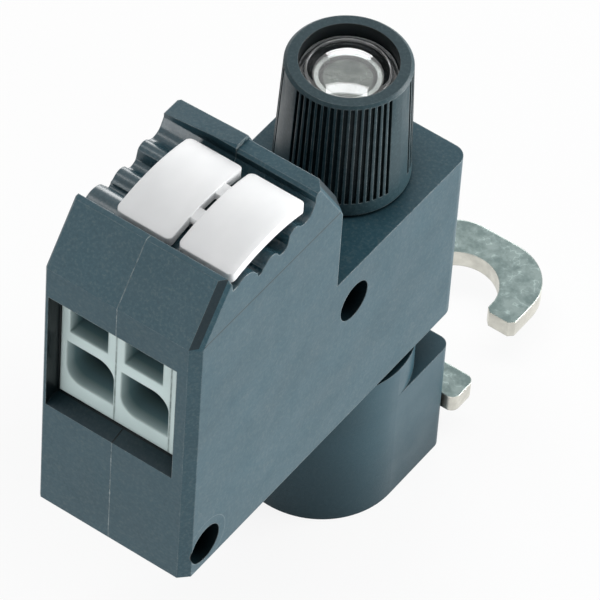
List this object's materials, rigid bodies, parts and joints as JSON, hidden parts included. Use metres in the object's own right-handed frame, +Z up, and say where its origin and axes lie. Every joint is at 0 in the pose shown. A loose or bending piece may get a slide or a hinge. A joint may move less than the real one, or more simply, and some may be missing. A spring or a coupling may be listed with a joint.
{
  "type": "fused busbar terminal",
  "caption": "Fused pick-off terminal: a screw-cap fuse holder with spring clamp conductor entries, hooked onto a busbar stud by a flat claw.",
  "frame": {"origin": "axis of the busbar stud in the claw, on the claw's underside that lies on the busbar", "axes": "+X across the width towards the claw's open mouth, +Y from the conductor entries towards the claw, +Z up along the stud and the fuse"},
  "size_m": [0.0181, 0.0643, 0.0586],
  "materials": {
    "housing": "moulded anthracite polyamide, fine matt grain",
    "cap_plastic": "moulded anthracite polyamide, ribbed",
    "insulation": "moulded dark polyamide",
    "pole_plastic": "light grey polyamide, satin",
    "tag_plastic": "white unprinted marker plastic",
    "clear_plastic": "clear polycarbonate window",
    "fuse_glass": "clear glass",
    "nickel": "nickel plated brass",
    "tinned_copper": "matt tinned copper, mottled",
    "spring_steel": "bright spring steel"
  },
  "bodies": {
    "root": {"left_shell": "housing", "right_shell": "housing", "clamp_pole_1": "pole_plastic", "clamp_pole_2": "pole_plastic", "clamp_end_plate": "pole_plastic", "current_bar": "tinned_copper", "fuse_barrel": "insulation", "contact_ring": "tinned_copper", "contact_post": "tinned_copper", "foot_housing": "housing", "busbar_claw": "tinned_copper", "marker_strip": "tag_plastic"},
    "fuse_carrier": {"fuse_clip": "nickel", "fuse_end_top": "nickel", "fuse_tube": "fuse_glass", "fuse_end_bottom": "nickel", "fuse_element": "nickel"},
    "screw_cap": {"fuse_cap": "cap_plastic", "cap_lens": "clear_plastic"},
    "plunger": {"contact_plunger": "nickel", "plunger_spring": "spring_steel"},
    "clamp_1": {"cage_spring_1": "spring_steel"},
    "clamp_2": {"cage_spring_2": "spring_steel"}
  },
  "joints": [
    {"name": "cap_lift", "type": "slide", "parent": "root", "child": "fuse_carrier", "axis": [0, 0, 1], "range_m": [0, 0.003]},
    {"name": "cap_turn", "type": "hinge", "parent": "fuse_carrier", "child": "screw_cap", "pos_m": [-0.001, -0.02165, 0.045], "axis": [0, 0, 1], "range_deg": [0, 360]},
    {"name": "plunger_press", "type": "slide", "parent": "root", "child": "plunger", "axis": [0, 0, -1], "range_m": [0, 0.002], "stiffness_N_per_m": 400, "deforming": ["plunger_spring"]},
    {"name": "clamp_1_open", "type": "slide", "parent": "root", "child": "clamp_1", "axis": [0, 0, -1], "range_m": [0, 0.0025], "stiffness_N_per_m": 2000, "deforming": ["cage_spring_1"]},
    {"name": "clamp_2_open", "type": "slide", "parent": "root", "child": "clamp_2", "axis": [0, 0, -1], "range_m": [0, 0.0025], "stiffness_N_per_m": 2000, "deforming": ["cage_spring_2"]}
  ],
  "couplings": [
    {"joint": "cap_turn", "follows": "cap_lift", "rad_per_m": 2094.4}
  ]
}
